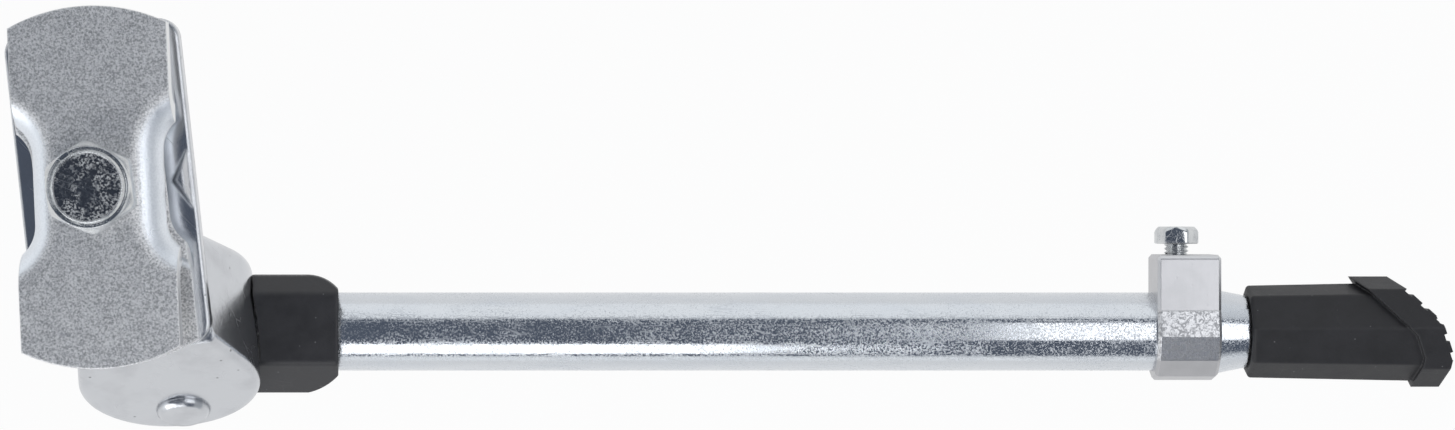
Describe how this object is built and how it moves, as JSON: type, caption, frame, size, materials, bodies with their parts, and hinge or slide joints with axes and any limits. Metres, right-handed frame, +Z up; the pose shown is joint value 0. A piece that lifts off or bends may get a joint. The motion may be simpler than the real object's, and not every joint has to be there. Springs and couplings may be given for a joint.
{
  "type": "bicycle kickstand",
  "caption": "Folding bicycle kickstand: bolted chainstay clamp plates on a cast pivot head, a leg tube with a sliding rod held by a collar screw, and a slanted rubber foot.",
  "frame": {"origin": "on the clamp bolt's axis at the head's top face, where the lower clamp plate lies", "axes": "+Z up the clamp bolt, +X rearwards along the folded leg, +Y to the bicycle's right"},
  "size_m": [0.2786, 0.1036, 0.0639],
  "materials": {
    "clamp_plates": "bright zinc-plated pressed sheet, fine grain",
    "zinc_fasteners": "bright zinc-plated steel",
    "cast_head": "smooth plated die casting",
    "bright_tube": "bright zinc-plated tube with fine scuffs",
    "collar_metal": "satin faceted casting",
    "inner_steel": "plain machined steel",
    "sleeve_plastic": "matt moulded plastic",
    "foot_rubber": "matt moulded rubber"
  },
  "bodies": {
    "base": {"head": "cast_head", "lower_plate": "clamp_plates", "pivot_pin": "zinc_fasteners"},
    "top_jaw": {"top_plate": "clamp_plates", "clamp_bolt": "zinc_fasteners"},
    "leg": {"knuckle": "inner_steel", "detent_spring": "inner_steel", "spring_plug": "inner_steel", "sleeve": "sleeve_plastic", "leg_tube": "bright_tube", "guide_bush": "collar_metal", "collar": "collar_metal"},
    "plunger": {"detent_plunger": "inner_steel"},
    "slider": {"slide_rod": "inner_steel", "foot": "foot_rubber"},
    "screw": {"clamp_screw": "zinc_fasteners"}
  },
  "joints": [
    {"name": "leg_fold", "type": "hinge", "parent": "base", "child": "leg", "pos_m": [0.00545, -0.0299, -0.034], "axis": [0, 0.866, -0.5], "range_deg": [0, 105]},
    {"name": "clamp_open", "type": "slide", "parent": "base", "child": "top_jaw", "axis": [0, 0, 1], "range_m": [0, 0.02]},
    {"name": "length_adjust", "type": "slide", "parent": "leg", "child": "slider", "axis": [0.994, -0.109, 0], "range_m": [0, 0.06]},
    {"name": "screw_turn", "type": "hinge", "parent": "leg", "child": "screw", "pos_m": [0.20784, -0.0521, -0.034], "axis": [0.109, 0.994, 0], "range_deg": [0, 720]},
    {"name": "detent_travel", "type": "slide", "parent": "leg", "child": "plunger", "axis": [0.994, -0.109, 0], "range_m": [0, 0.0015], "stiffness_N_per_m": 800, "deforming": ["detent_spring"]}
  ]
}
